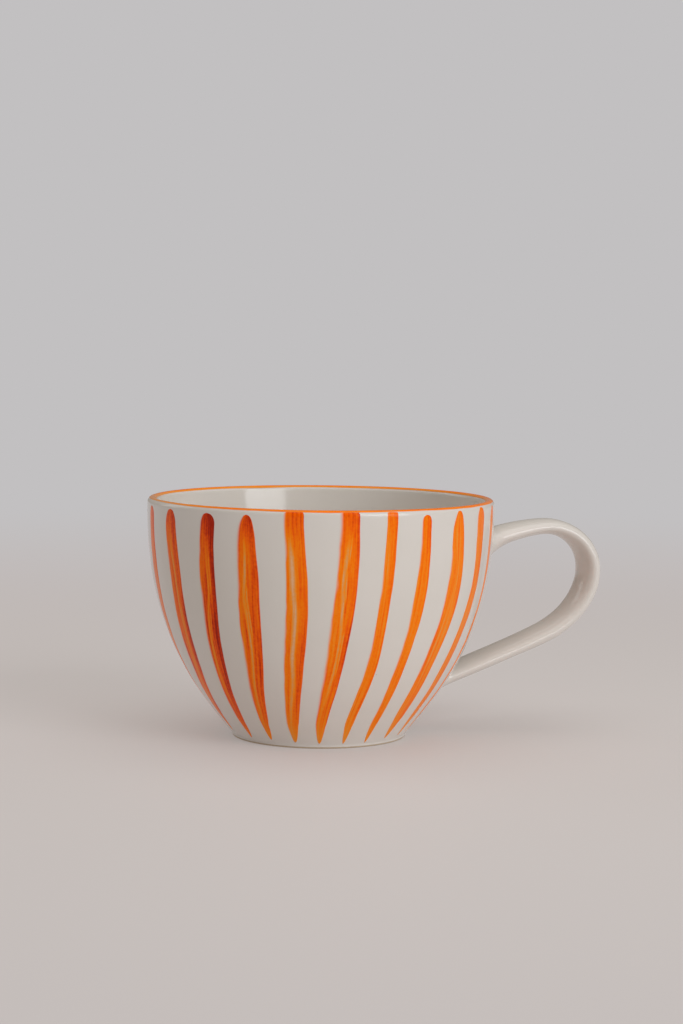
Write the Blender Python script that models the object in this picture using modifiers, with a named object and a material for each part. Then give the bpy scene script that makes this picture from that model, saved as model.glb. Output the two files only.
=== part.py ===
"""Wide ceramic mug: a turned bowl with a foot ring, a strap handle and the slip that joins them.

Units are metres, +Z is up and the mug stands on Z = 0. The handle points along +X, and the origin
lies on the table under the middle of the whole mug, handle included.
"""
import math

import bmesh
import bpy
from mathutils import Vector
from mathutils.geometry import interpolate_bezier

MM = 0.001

# Bowl
RIM_RADIUS = 57.4 * MM
HEIGHT = 79.2 * MM
LIP_ROUND = 1.7 * MM          # the rim is a half round of this radius
WALL_AT_LIP = 2 * LIP_ROUND
WALL_AT_FOOT = 4.6 * MM
FOOT_RADIUS = 29.0 * MM
FOOT_ROUND = 1.0 * MM         # small roll where the wall meets the foot ring
FOOT_RING_WIDTH = 3.6 * MM
RECESS_DEPTH = 2.2 * MM
FLOOR = RECESS_DEPTH + 4.6 * MM
FLOOR_FLAT_RADIUS = 12.0 * MM
COVE_TOP = 15.0 * MM          # the floor's cove runs into the wall at this height
WALL_SLOPE_AT_FOOT = math.radians(52)
BOWL_STEPS = 72

# Strap handle, measured outwards from the bowl's axis and up from the table
STRAP_WIDTH = 16.0 * MM
STRAP_THICKNESS = 6.2 * MM
STRAP_SIDES = 20
STRAP_STEPS_PER_SPAN = 9
# out, up, direction of travel in degrees, length of the curve handles, size of the section
STRAP_KNOTS = (
    (53.0 * MM, 62.8 * MM, 16, 8 * MM, 1.12),      # upper root, inside the wall before it is trimmed
    (79.5 * MM, 68.5 * MM, 0, 8 * MM, 0.86),       # crown
    (95.6 * MM, 53.5 * MM, -90, 9 * MM, 1.03),     # outermost point
    (81.5 * MM, 33.2 * MM, -151, 8 * MM, 1.00),    # lower bend
    (28.0 * MM, 12.4 * MM, -159, 15 * MM, 0.94),   # lower root, inside the wall before it is trimmed
)

# Slip squeezed out around each root and wiped to a fillet. Its ring starts inside the wall and ends
# on the strap. Each end is a fraction of the strap's first or last span, with how far the slip
# stands proud of the strap there. The rings lie along the wall, which the strap meets at this angle
# from square, and the upper one sags below the strap.
UPPER_SLIP = ((0.00, 4.2 * MM), (0.45, 0.8 * MM))
UPPER_STRAP_FROM_SQUARE = math.radians(14)
UPPER_SLIP_SAG = 1.6 * MM
LOWER_SLIP = ((0.82, 4.6 * MM), (0.60, 0.8 * MM))
LOWER_STRAP_FROM_SQUARE = math.radians(50)
LOWER_SLIP_SAG = 0.0
SLIP_SIDES = 28

GAP = 0.3 * MM                # air kept between pieces that touch


def start_empty():
    """Remove whatever the scene holds."""
    for thing in list(bpy.data.objects):
        bpy.data.objects.remove(thing, do_unlink=True)


def new_collection(name):
    """A collection linked to the scene."""
    made = bpy.data.collections.new(name)
    bpy.context.scene.collection.children.link(made)
    return made


def glazed_stoneware(name, colour):
    """Smooth, glossy, slightly warm glaze over a fired clay body."""
    made = bpy.data.materials.new(name)
    made.use_nodes = True
    shader = made.node_tree.nodes["Principled BSDF"]
    shader.inputs["Base Color"].default_value = (*colour, 1.0)
    shader.inputs["Roughness"].default_value = 0.22
    shader.inputs["Metallic"].default_value = 0.0
    made.diffuse_color = (*colour, 1.0)
    return made


def add_object(name, mesh_or_curve, collection, material=None):
    """Link a new object, with its material."""
    made = bpy.data.objects.new(name, mesh_or_curve)
    collection.objects.link(made)
    if material:
        made.data.materials.append(material)
    return made


def as_cutter(thing):
    """Show an object as a wire guide that is left out of the model."""
    thing.hide_render = True
    thing.display_type = 'WIRE'
    return thing


def arc(centre, radius, start, end, count):
    """Points on a circle from one angle to another, both ends included."""
    steps = [start + (end - start) * i / (count - 1) for i in range(count)]
    return [(centre[0] + radius * math.cos(a), centre[1] + radius * math.sin(a)) for a in steps]


def bezier(start, leave, arrive, end, count):
    """Points on one Bezier span, in the plane of the profile."""
    knots = [Vector((*knot, 0.0)) for knot in (start, leave, arrive, end)]
    return [(point.x, point.y) for point in interpolate_bezier(*knots, count)]


def outer_wall():
    """The bowl's outer side, from just under the lip down to the foot's roll."""
    foot = Vector((FOOT_RADIUS, FOOT_ROUND))
    rising = Vector((math.cos(WALL_SLOPE_AT_FOOT), math.sin(WALL_SLOPE_AT_FOOT))) * 18 * MM
    return bezier((RIM_RADIUS, HEIGHT - LIP_ROUND), (RIM_RADIUS + 0.25 * MM, 0.42 * HEIGHT),
                  foot + rising, foot, 19)


def inner_wall():
    """The outer side moved in by the wall's thickness, run down into the floor by a cove."""
    outer = [Vector(point) for point in outer_wall()]
    inner = []
    for above, here, below in zip(outer, outer[1:], outer[2:]):
        downwards = (below - above).normalized()
        inwards = Vector((downwards.y, -downwards.x))
        thickness = WALL_AT_FOOT + (WALL_AT_LIP - WALL_AT_FOOT) * here.y / HEIGHT
        inner.append(here + inwards * thickness)
    inner = [point for point in inner if point.y > COVE_TOP]
    reach = 0.45 * (inner[-1].x - FLOOR_FLAT_RADIUS)
    arriving = (inner[-2] - inner[-1]).normalized() * reach
    cove = bezier((FLOOR_FLAT_RADIUS, FLOOR), (FLOOR_FLAT_RADIUS + reach, FLOOR),
                  inner[-1] - arriving, inner[-1], 7)
    top = (RIM_RADIUS - WALL_AT_LIP, HEIGHT - LIP_ROUND)
    return cove + [tuple(point) for point in reversed(inner[:-1])] + [top]


def bowl_profile():
    """Closed section of the bowl: floor, inner side, lip, outer side, foot ring, recess."""
    ring_inner = FOOT_RADIUS - FOOT_RING_WIDTH
    lip = arc((RIM_RADIUS - LIP_ROUND, HEIGHT - LIP_ROUND), LIP_ROUND, math.pi, 0.0, 9)[1:-1]
    foot = arc((FOOT_RADIUS - FOOT_ROUND, FOOT_ROUND), FOOT_ROUND, 0.0, -math.pi / 2, 4)[1:]
    recess = [(ring_inner, 0.0), (ring_inner - 0.5 * RECESS_DEPTH, RECESS_DEPTH), (0.0, RECESS_DEPTH)]
    return [(0.0, FLOOR)] + inner_wall() + lip + outer_wall() + foot + recess


def turned(name, profile, collection, material=None):
    """Spin a profile in the XZ plane about Z."""
    mesh = bpy.data.meshes.new(name)
    points = [(x, 0.0, z) for x, z in profile]
    mesh.from_pydata(points, [(i, i + 1) for i in range(len(points) - 1)], [])
    made = add_object(name, mesh, collection, material)
    screw = made.modifiers.new("spin", 'SCREW')
    screw.steps = BOWL_STEPS
    screw.render_steps = BOWL_STEPS
    screw.use_merge_vertices = True
    screw.merge_threshold = 0.00001
    return made


def make_bowl(collection, material):
    """The bowl with its foot ring, one piece of clay."""
    return turned("bowl", bowl_profile(), collection, material)


def wall_cutter(collection):
    """Everything inside the bowl's outer side, grown by the gap: it trims what touches the wall."""
    grown = [(x + GAP, z) for x, z in outer_wall()]
    top = [(0.0, HEIGHT + 10 * MM), (grown[0][0], HEIGHT + 10 * MM)]
    bottom = [(grown[-1][0], -10 * MM), (0.0, -10 * MM)]
    return as_cutter(turned("wall_cutter", top + grown + bottom, collection))


def strap_section(grow, collection):
    """Oval outline of the strap: thin across the loop, wide along the mug's side."""
    outline = bpy.data.curves.new("strap_section", 'CURVE')
    outline.dimensions = '2D'
    spline = outline.splines.new('POLY')
    spline.points.add(STRAP_SIDES - 1)
    for i, point in enumerate(spline.points):
        turn = 2 * math.pi * i / STRAP_SIDES
        point.co = ((STRAP_WIDTH / 2 + grow) * math.cos(turn),
                    (STRAP_THICKNESS / 2 + grow) * math.sin(turn), 0.0, 1.0)
    spline.use_cyclic_u = True
    return as_cutter(add_object("strap_section", outline, collection))


def strap(name, grow, collection, cutters, material=None):
    """The handle's loop swept along its knots, as a closed mesh that still runs into the wall."""
    path = bpy.data.curves.new(name, 'CURVE')
    path.dimensions = '3D'
    path.resolution_u = STRAP_STEPS_PER_SPAN
    path.bevel_mode = 'OBJECT'
    path.bevel_object = strap_section(grow, cutters)
    path.use_fill_caps = True
    spline = path.splines.new('BEZIER')
    spline.bezier_points.add(len(STRAP_KNOTS) - 1)
    for knot, (out, up, degrees, reach, size) in zip(spline.bezier_points, STRAP_KNOTS):
        along = Vector((math.cos(math.radians(degrees)), 0.0, math.sin(math.radians(degrees))))
        knot.co = (out, 0.0, up)
        knot.handle_left = knot.co - along * reach
        knot.handle_right = knot.co + along * reach
        knot.radius = size
    swept = add_object(name + "_path", path, cutters)
    return curve_to_mesh(swept, name, collection, material)


def curve_to_mesh(swept, name, collection, material=None):
    """Turn a curve object into a mesh object whose caps are welded on."""
    evaluated = swept.evaluated_get(bpy.context.evaluated_depsgraph_get())
    mesh = bpy.data.meshes.new_from_object(evaluated)
    mesh.materials.clear()
    work = bmesh.new()
    work.from_mesh(mesh)
    bmesh.ops.remove_doubles(work, verts=work.verts, dist=0.00001)
    bmesh.ops.recalc_face_normals(work, faces=work.faces)
    work.to_mesh(mesh)
    work.free()
    made = add_object(name, mesh, collection, material)
    made.matrix_world = swept.matrix_world
    bpy.data.objects.remove(swept)
    return made


def cut(thing, cutter):
    """Take the cutter's volume out of an object."""
    made = thing.modifiers.new("cut_" + cutter.name, 'BOOLEAN')
    made.operation = 'DIFFERENCE'
    made.solver = 'EXACT'
    made.object = cutter


def make_handle(collection, cutters, wall, material):
    """The strap, ended on the bowl's wall at both roots."""
    made = strap("handle", 0.0, collection, cutters, material)
    cut(made, wall)
    return made


def strap_centre(first_knot, fraction):
    """A point on the strap's centreline and the size of its section there."""
    (out, up, degrees, reach, size), (end_out, end_up, end_degrees, end_reach, end_size) = (
        STRAP_KNOTS[first_knot:first_knot + 2])
    start, end = Vector((out, 0.0, up)), Vector((end_out, 0.0, end_up))
    leave = Vector((math.cos(math.radians(degrees)), 0.0, math.sin(math.radians(degrees)))) * reach
    arrive = Vector((math.cos(math.radians(end_degrees)), 0.0,
                     math.sin(math.radians(end_degrees)))) * end_reach
    points = interpolate_bezier(start, start + leave, end - arrive, end, 101)
    return points[round(100 * fraction)], size + (end_size - size) * fraction


def slip_fillet(name, first_knot, ends, from_square, sag, collection, material):
    """A flared oval collar around a root, wide in the wall and thin at its tip on the strap."""
    (base_fraction, base_proud), (tip_fraction, tip_proud) = ends
    base, base_size = strap_centre(first_knot, base_fraction)
    tip, tip_size = strap_centre(first_knot, tip_fraction)
    mesh = bpy.data.meshes.new(name)
    work = bmesh.new()
    bmesh.ops.create_cone(work, cap_ends=True, segments=SLIP_SIDES, radius1=1.0, radius2=1.0, depth=1.0)
    for vertex in work.verts:
        at_tip = vertex.co.z > 0
        size = tip_size if at_tip else base_size
        proud = tip_proud if at_tip else base_proud
        vertex.co.x *= size * STRAP_THICKNESS / 2 + proud
        vertex.co.y *= size * STRAP_WIDTH / 2 + proud
        vertex.co.z = (tip - base).length if at_tip else 0.0
        vertex.co.z -= vertex.co.x * math.tan(from_square)
        vertex.co.x += 0.0 if at_tip else sag
    work.to_mesh(mesh)
    work.free()
    made = add_object(name, mesh, collection, material)
    made.location = base
    made.rotation_euler = (0.0, math.atan2(tip.x - base.x, tip.z - base.z), 0.0)
    return made


def make_slip_fillets(collection, cutters, wall, material):
    """The two fillets of joining slip, cut clear of the strap and of the wall."""
    strap_cutter = as_cutter(strap("strap_cutter", GAP, cutters, cutters))
    upper = slip_fillet("upper_slip_fillet", 0, UPPER_SLIP, UPPER_STRAP_FROM_SQUARE,
                        UPPER_SLIP_SAG, collection, material)
    lower = slip_fillet("lower_slip_fillet", len(STRAP_KNOTS) - 2, LOWER_SLIP,
                        LOWER_STRAP_FROM_SQUARE, LOWER_SLIP_SAG, collection, material)
    for fillet in (upper, lower):
        cut(fillet, strap_cutter)
        cut(fillet, wall)
    return upper, lower


def shade_round(things):
    """Smooth shading, with real edges kept sharp."""
    for thing in things:
        thing.data.shade_smooth()
        thing.data.set_sharp_from_angle(angle=math.radians(40))


def stand_over_origin(things):
    """Move every object so that the middle of the mug, handle included, is over the origin."""
    bpy.context.view_layer.update()
    graph = bpy.context.evaluated_depsgraph_get()
    reach = []
    for thing in things:
        evaluated = thing.evaluated_get(graph)
        reach += [(evaluated.matrix_world @ Vector(corner)).x for corner in evaluated.bound_box]
    middle = (min(reach) + max(reach)) / 2
    for thing in bpy.data.objects:
        thing.location.x -= middle


def main():
    start_empty()
    pieces = new_collection("ceramic_mug")
    cutters = new_collection("cutters")
    glaze = glazed_stoneware("cream_glaze", (0.70, 0.64, 0.57))
    slip = glazed_stoneware("cream_glaze_over_slip", (0.68, 0.62, 0.55))
    wall = wall_cutter(cutters)
    bowl = make_bowl(pieces, glaze)
    handle = make_handle(pieces, cutters, wall, glaze)
    fillets = make_slip_fillets(pieces, cutters, wall, slip)
    shade_round((bowl, handle))
    stand_over_origin((bowl, handle, *fillets))


main()
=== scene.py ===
"""A wide cream-glazed stoneware mug with a loop handle and hand-brushed orange strokes.

The bowl, its bare foot ring and everything painted on it are laid out flat first, as if unrolled: x is
the turn round the bowl, y the way along its skin and z the height off it. One tree of nodes then wraps
the flat work round the bowl's section. The handle is swept, and slip fillets join it to the wall.
"""
import math

import bmesh
import bpy
from mathutils import Matrix, Vector, noise
from mathutils.geometry import interpolate_bezier


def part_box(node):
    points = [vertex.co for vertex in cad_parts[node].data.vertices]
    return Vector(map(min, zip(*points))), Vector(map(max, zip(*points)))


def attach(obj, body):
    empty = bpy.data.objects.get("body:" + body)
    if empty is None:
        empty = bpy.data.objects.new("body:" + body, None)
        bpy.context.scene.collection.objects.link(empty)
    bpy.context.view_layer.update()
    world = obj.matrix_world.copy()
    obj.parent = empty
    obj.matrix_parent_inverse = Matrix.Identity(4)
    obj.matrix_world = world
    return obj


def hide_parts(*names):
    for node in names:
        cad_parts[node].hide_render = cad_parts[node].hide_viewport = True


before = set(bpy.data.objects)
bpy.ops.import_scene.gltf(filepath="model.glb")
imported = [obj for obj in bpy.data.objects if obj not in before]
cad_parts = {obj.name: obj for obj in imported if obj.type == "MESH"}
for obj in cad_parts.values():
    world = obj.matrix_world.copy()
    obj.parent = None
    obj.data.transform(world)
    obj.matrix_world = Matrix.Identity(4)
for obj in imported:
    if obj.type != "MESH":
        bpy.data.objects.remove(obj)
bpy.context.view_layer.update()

MM = 0.001

# Bowl: its axis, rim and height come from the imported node, the rest repeats how it is turned
BOWL_LOW, BOWL_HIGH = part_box("bowl")
AXIS = (BOWL_LOW.x + BOWL_HIGH.x) / 2
RIM_RADIUS = (BOWL_HIGH.y - BOWL_LOW.y) / 2
HEIGHT = BOWL_HIGH.z
LIP_ROUND = 1.7 * MM
WALL_AT_LIP = 2 * LIP_ROUND
WALL_AT_FOOT = 4.6 * MM
FOOT_RADIUS = 29.0 * MM
FOOT_ROUND = 1.0 * MM
FOOT_RING_WIDTH = 3.6 * MM
RECESS_DEPTH = 2.2 * MM
RECESS_STEP = 1.5 * MM         # from the foot ring's inner side to the flat of the recess
RECESS_ROUND = 0.9 * MM
FLOOR = RECESS_DEPTH + 4.6 * MM
FLOOR_FLAT_RADIUS = 12.0 * MM
COVE_TOP = 15.0 * MM
WALL_SLOPE_AT_FOOT = math.radians(52)
WALL_RISE = 18 * MM            # pull of the wall's curve up and out from the foot
BELLY = 0.25 * MM              # how far past the rim its upper pull stands, at this share of the height
BELLY_HEIGHT = 0.42
LIP_TAPER = 0.55 * MM          # extra thickness inside, which thins to the lip over this height
LIP_TAPER_HEIGHT = 14 * MM
TAPER_END = 0.45               # and runs out towards the floor below this share of the height
GLAZE_LINE = 0.6 * MM          # the glaze is sponged off the foot below this height
BOWL_SEGMENTS = 320
FOOT_SEGMENTS = 240
WALL_STEPS = 84
WELD = 0.01 * MM

# Throwing rings left by the fingers, far too shallow to see except in a reflection
RIPPLE = 0.05 * MM
RIPPLE_SPACING = 9 * MM

# Strap handle, outwards from the bowl's axis and up from the table
STRAP_WIDTH = 16.0 * MM
STRAP_THICKNESS = 6.2 * MM
# out, up, direction of travel in degrees, length of the curve handles, size of the section
STRAP_KNOTS = (
    (53.0, 62.8, 16, 8, 1.12),
    (79.5, 68.5, 0, 8, 0.86),
    (95.6, 53.5, -90, 9, 1.03),
    (81.5, 33.2, -151, 8, 1.00),
    (28.0, 12.4, -159, 15, 0.94),
)
ROOT_DEPTH = 2.4 * MM          # how far the strap runs into the wall

PAINT_DEPTH = 0.045 * MM       # how far brushed underglaze stands proud under its glaze
PAINT_ROOT = 1.5 * PAINT_DEPTH     # how far its hidden underside lies in the bowl
PAINT_WELD = 0.003 * MM

FRONT = math.radians(-106)     # the turn of the middle of the painted front, the handle being at 0

COLOUR_A, COLOUR_B, COLOUR_OUT = 6, 7, 2    # a Mix node's sockets for colours
SMOOTH = {"interpolation_type": 'SMOOTHSTEP'}


def hex_linear(code):
    """Linear colour of an sRGB hex value."""
    parts = [int(code[i:i + 2], 16) / 255 for i in (0, 2, 4)]
    return (*(c / 12.92 if c <= 0.04045 else ((c + 0.055) / 1.055) ** 2.4 for c in parts), 1.0)


def add(tree, kind, inputs=(), **settings):
    """A new node with its settings. Its inputs come by name, or in their order as a tuple, and each is set to
    a value or linked to a socket or to a node's first output. A Map Range node's order is the value, the two
    ends that it comes from and the two that it goes to, which are 0 and 1 where they are left out."""
    node = tree.nodes.new(kind)
    for name, value in settings.items():
        setattr(node, name, value)
    for name, value in inputs.items() if isinstance(inputs, dict) else enumerate(inputs):
        if isinstance(value, bpy.types.Node):
            value = value.outputs[0]
        if isinstance(value, bpy.types.NodeSocket):
            tree.links.new(value, node.inputs[name])
        else:
            node.inputs[name].default_value = value
    return node


# ---------- section of the bowl

def arc(centre, radius, start, end, count):
    """Points on a circle from one angle to another in degrees, both ends included."""
    steps = [math.radians(start + (end - start) * i / (count - 1)) for i in range(count)]
    return [(centre[0] + radius * math.cos(a), centre[1] + radius * math.sin(a)) for a in steps]


def bezier(start, leave, arrive, end, count):
    """Points on one Bezier span, in the plane of the section."""
    knots = [Vector((*knot, 0.0)) for knot in (start, leave, arrive, end)]
    return [(point.x, point.y) for point in interpolate_bezier(*knots, count)]


def outer_wall():
    """The bowl's outer side, from just under the lip down to the foot's roll."""
    foot = Vector((FOOT_RADIUS, FOOT_ROUND))
    rising = Vector((math.cos(WALL_SLOPE_AT_FOOT), math.sin(WALL_SLOPE_AT_FOOT))) * WALL_RISE
    return bezier((RIM_RADIUS, HEIGHT - LIP_ROUND), (RIM_RADIUS + BELLY, BELLY_HEIGHT * HEIGHT),
                  foot + rising, foot, WALL_STEPS)


def inner_wall():
    """The outer side moved in by the wall's thickness, run down into the floor by a cove."""
    outer = [Vector(point) for point in outer_wall()]
    inner = []
    for above, here, below in zip(outer, outer[1:], outer[2:]):
        downwards = (below - above).normalized()
        inwards = Vector((downwards.y, -downwards.x))
        below_lip = min(1.0, max(0.0, HEIGHT - LIP_ROUND - here.y) / LIP_TAPER_HEIGHT)
        above_floor = min(1.0, here.y / (TAPER_END * HEIGHT))
        taper = LIP_TAPER * below_lip * (2 - below_lip) * above_floor ** 2
        thickness = WALL_AT_FOOT + (WALL_AT_LIP - WALL_AT_FOOT) * here.y / HEIGHT + taper
        inner.append(here + inwards * thickness)
    inner = [point for point in inner if point.y > COVE_TOP]
    reach = 0.45 * (inner[-1].x - FLOOR_FLAT_RADIUS)
    arriving = (inner[-2] - inner[-1]).normalized() * reach
    cove = bezier((FLOOR_FLAT_RADIUS, FLOOR), (FLOOR_FLAT_RADIUS + reach, FLOOR),
                  inner[-1] - arriving, inner[-1], 28)
    return cove + [tuple(point) for point in reversed(inner[:-1])]


def bowl_section():
    """The glazed bowl from the middle of its floor, over the lip, down to the foot and underneath."""
    floor = [(FLOOR_FLAT_RADIUS * i / 8, FLOOR) for i in range(8)]
    lip = arc((RIM_RADIUS - LIP_ROUND, HEIGHT - LIP_ROUND), LIP_ROUND, 180, 0, 25)
    ring_inner = FOOT_RADIUS - FOOT_RING_WIDTH
    roll = arc((FOOT_RADIUS - FOOT_ROUND, FOOT_ROUND), FOOT_ROUND, -4, -24, 5)
    # the glaze's own soft edges, outside and inside the bare ring
    edge = [(FOOT_RADIUS - 0.22 * MM, GLAZE_LINE - 0.10 * MM), (FOOT_RADIUS - 0.45 * MM, GLAZE_LINE)]
    under = [(ring_inner + 0.4 * MM, GLAZE_LINE), (ring_inner - 0.1 * MM, GLAZE_LINE + 0.05 * MM)]
    flat = ring_inner - RECESS_STEP
    recess = arc((flat, RECESS_DEPTH - RECESS_ROUND), RECESS_ROUND, 10, 90, 7)
    bottom = [(flat * (1 - i / 10), RECESS_DEPTH) for i in range(1, 11)]
    return floor + inner_wall() + lip + outer_wall()[1:] + roll + edge + under + recess + bottom


def foot_section():
    """The bare clay ring that the mug stands on, a hair inside the glaze above it."""
    outer = FOOT_RADIUS - 0.16 * MM
    inner = FOOT_RADIUS - FOOT_RING_WIDTH
    top = GLAZE_LINE + 0.12 * MM
    outer_corner, inner_corner = 0.55 * MM, 0.3 * MM
    shoulder = (outer - 0.1 * MM, top)
    outside = arc((outer - outer_corner, outer_corner), outer_corner, 0, -90, 8)
    inside = arc((inner + inner_corner, inner_corner), inner_corner, -90, -180, 6)
    return [shoulder, *outside, *inside, (inner, top), shoulder]


def lengths_along(section):
    """How far along the section each of its points lies."""
    marks = [0.0]
    for here, there in zip(section, section[1:]):
        marks.append(marks[-1] + (Vector(there) - Vector(here)).length)
    return marks


SECTION = bowl_section()
MARKS = lengths_along(SECTION)
CREST = max(range(len(SECTION)), key=lambda i: SECTION[i][1])
GLAZE_END = min(i for i in range(CREST, len(SECTION)) if SECTION[i][1] < FOOT_ROUND)


def between(values, targets, value):
    """The target that stands where value stands among rising values."""
    for (low, there), (high, beyond) in zip(zip(values, targets), zip(values[1:], targets[1:])):
        if value <= high:
            share = max(0.0, (value - low) / (high - low))
            return there + (beyond - there) * share
    return targets[-1]


OUTSIDE = list(reversed(range(CREST, GLAZE_END + 1)))
OUTSIDE_HEIGHTS = [SECTION[i][1] for i in OUTSIDE]
OUTSIDE_MARKS = [MARKS[i] for i in OUTSIDE]
OUTSIDE_RADII = [SECTION[i][0] for i in OUTSIDE]


def mark_at_height(height):
    """How far along the section the outer side reaches this height."""
    return between(OUTSIDE_HEIGHTS, OUTSIDE_MARKS, height)


def skin_radius(height):
    """The outer side's radius at this height."""
    return between(OUTSIDE_HEIGHTS, OUTSIDE_RADII, height)


# ---------- node trees that shape clay and paint

def new_tree(name, inputs):
    """An empty tree with named inputs and one geometry output. Returns the tree and its input node."""
    tree = bpy.data.node_groups.new(name, 'GeometryNodeTree')
    for label, kind in inputs:
        tree.interface.new_socket(label, in_out='INPUT', socket_type="NodeSocket" + kind)
    tree.interface.new_socket("Geometry", in_out='OUTPUT', socket_type="NodeSocketGeometry")
    return tree, add(tree, "NodeGroupInput")


def wheel_tree():
    """Wraps flat work round a section: x is the turn, y the way along the section, z the height off it."""
    tree, given = new_tree("wheel", (
        ("Geometry", "Geometry"), ("Section", "Object"), ("Axis", "Vector"), ("Ripple", "Float"),
        ("Ripple spacing", "Float"), ("Weld", "Float"), ("Finish", "Material")))
    place = add(tree, "GeometryNodeInputPosition")
    flat = add(tree, "ShaderNodeSeparateXYZ", (place,))
    section = add(tree, "GeometryNodeObjectInfo", {"Object": given.outputs["Section"]})
    at = add(tree, "GeometryNodeSampleCurve",
             {"Curves": section.outputs["Geometry"], "Length": flat.outputs["Y"]}, mode='LENGTH')
    turned = add(tree, "ShaderNodeVectorRotate",
                 {"Vector": at.outputs["Position"], "Angle": flat.outputs["X"]}, rotation_type='Z_AXIS')
    # throwing rings: close together up the wall, long round it
    rings = add(tree, "ShaderNodeMath", (1.0, given.outputs["Ripple spacing"]), operation='DIVIDE')
    stretch = add(tree, "ShaderNodeCombineXYZ", {"X": 9.0, "Y": 9.0, "Z": rings})
    grain = add(tree, "ShaderNodeVectorMath", (turned, stretch), operation='MULTIPLY')
    wave = add(tree, "ShaderNodeTexNoise", {"Vector": grain, "Scale": 1.0, "Detail": 1.0})
    swing = add(tree, "ShaderNodeMapRange", (wave, 0.25, 0.75, -1.0, 1.0))
    lift = add(tree, "ShaderNodeMath", (swing, given.outputs["Ripple"], flat.outputs["Z"]),
               operation='MULTIPLY_ADD')
    out = add(tree, "ShaderNodeVectorMath", (at.outputs["Tangent"], (0.0, 1.0, 0.0)),
              operation='CROSS_PRODUCT')
    proud = add(tree, "ShaderNodeVectorMath", {0: out, "Scale": lift}, operation='SCALE')
    raised = add(tree, "ShaderNodeVectorMath", (at.outputs["Position"], proud), operation='ADD')
    round_it = add(tree, "ShaderNodeVectorRotate", {"Vector": raised, "Angle": flat.outputs["X"]},
                   rotation_type='Z_AXIS')
    moved = add(tree, "ShaderNodeVectorMath", (round_it, given.outputs["Axis"]), operation='ADD')
    shaped = add(tree, "GeometryNodeSetPosition", {"Geometry": given.outputs["Geometry"], "Position": moved})
    return finish_tree(tree, given, shaped)


def strap_tree():
    """Sweeps an oval along a path, thicker where the path's radius is larger."""
    tree, given = new_tree("strap", (
        ("Geometry", "Geometry"), ("Width", "Float"), ("Thickness", "Float"), ("Sides", "Int"),
        ("Unevenness", "Float"), ("Weld", "Float"), ("Finish", "Material")))
    circle = add(tree, "GeometryNodeCurvePrimitiveCircle",
                 {"Resolution": given.outputs["Sides"], "Radius": 0.5})
    size = add(tree, "ShaderNodeCombineXYZ",
               {"X": given.outputs["Width"], "Y": given.outputs["Thickness"], "Z": 1.0})
    oval = add(tree, "GeometryNodeTransform", {"Geometry": circle, "Scale": size})
    level = add(tree, "GeometryNodeSetCurveNormal",
                {"Curve": given.outputs["Geometry"], "Normal": (0.0, 1.0, 0.0)}, mode='FREE')
    radius = add(tree, "GeometryNodeInputRadius")
    swept = add(tree, "GeometryNodeCurveToMesh",
                {"Curve": level, "Profile Curve": oval, "Scale": radius, "Fill Caps": True})
    # the hand's own unevenness, about 18 mm from one swell to the next
    wave = add(tree, "ShaderNodeTexNoise", {"Scale": 55.0, "Detail": 1.0})
    facing = add(tree, "GeometryNodeInputNormal")
    swing = add(tree, "ShaderNodeMapRange", (wave, 0.25, 0.75, -1.0, 1.0))
    lift = add(tree, "ShaderNodeMath", (swing, given.outputs["Unevenness"]), operation='MULTIPLY')
    push = add(tree, "ShaderNodeVectorMath", {0: facing, "Scale": lift}, operation='SCALE')
    shaped = add(tree, "GeometryNodeSetPosition", {"Geometry": swept, "Offset": push})
    return finish_tree(tree, given, shaped)


def finish_tree(tree, given, last):
    """Ends a tree: doubles welded, smooth shading, instances made real, and the finish. Returns the tree."""
    welded = add(tree, "GeometryNodeMergeByDistance", {"Geometry": last, "Distance": given.outputs["Weld"]})
    smooth = add(tree, "GeometryNodeSetShadeSmooth", {"Geometry": welded})
    real = add(tree, "GeometryNodeRealizeInstances", {"Geometry": smooth})
    coated = add(tree, "GeometryNodeSetMaterial", {"Geometry": real, "Material": given.outputs["Finish"]})
    add(tree, "NodeGroupOutput", (coated,))
    return tree


def add_object(name, data):
    """A new object in the scene, at the origin."""
    made = bpy.data.objects.new(name, data)
    bpy.context.scene.collection.objects.link(made)
    return made


def run_tree(name, source, tree, **values):
    """The plain mesh that a tree makes of source, as a piece; source is removed."""
    maker = source.modifiers.new("maker", 'NODES')
    maker.node_group = tree
    sockets = {item.name.replace(" ", "_"): item.identifier
               for item in tree.interface.items_tree if item.in_out == 'INPUT'}
    for label, value in values.items():
        maker[sockets[label]] = value
    bpy.context.view_layer.update()
    graph = bpy.context.evaluated_depsgraph_get()
    mesh = bpy.data.meshes.new_from_object(source.evaluated_get(graph), preserve_all_data_layers=True,
                                           depsgraph=graph)
    bpy.data.objects.remove(source)
    return face_outwards(add_object(name, mesh))


def face_outwards(piece):
    """Every face of a closed piece turned outwards and shaded smooth."""
    work = bmesh.new()
    work.from_mesh(piece.data)
    bmesh.ops.dissolve_degenerate(work, dist=1e-7, edges=work.edges)
    bmesh.ops.recalc_face_normals(work, faces=work.faces)
    for face in work.faces:
        face.smooth = True
    work.to_mesh(piece.data)
    work.free()
    return piece


def curve_through(name, stations):
    """A curve object through stations of x, y, z and size."""
    data = bpy.data.curves.new(name, 'CURVE')
    data.dimensions = '3D'
    spline = data.splines.new('POLY')
    spline.points.add(len(stations) - 1)
    for point, (*place, size) in zip(spline.points, stations):
        point.co = (*place, 1.0)
        point.radius = size
    return add_object(name, data)


def section_curve(name, section):
    """A section as a curve that the wheel tree can read."""
    return curve_through(name, [(out, 0.0, up, 1.0) for out, up in section])


# ---------- flat work, before it is wrapped

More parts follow.
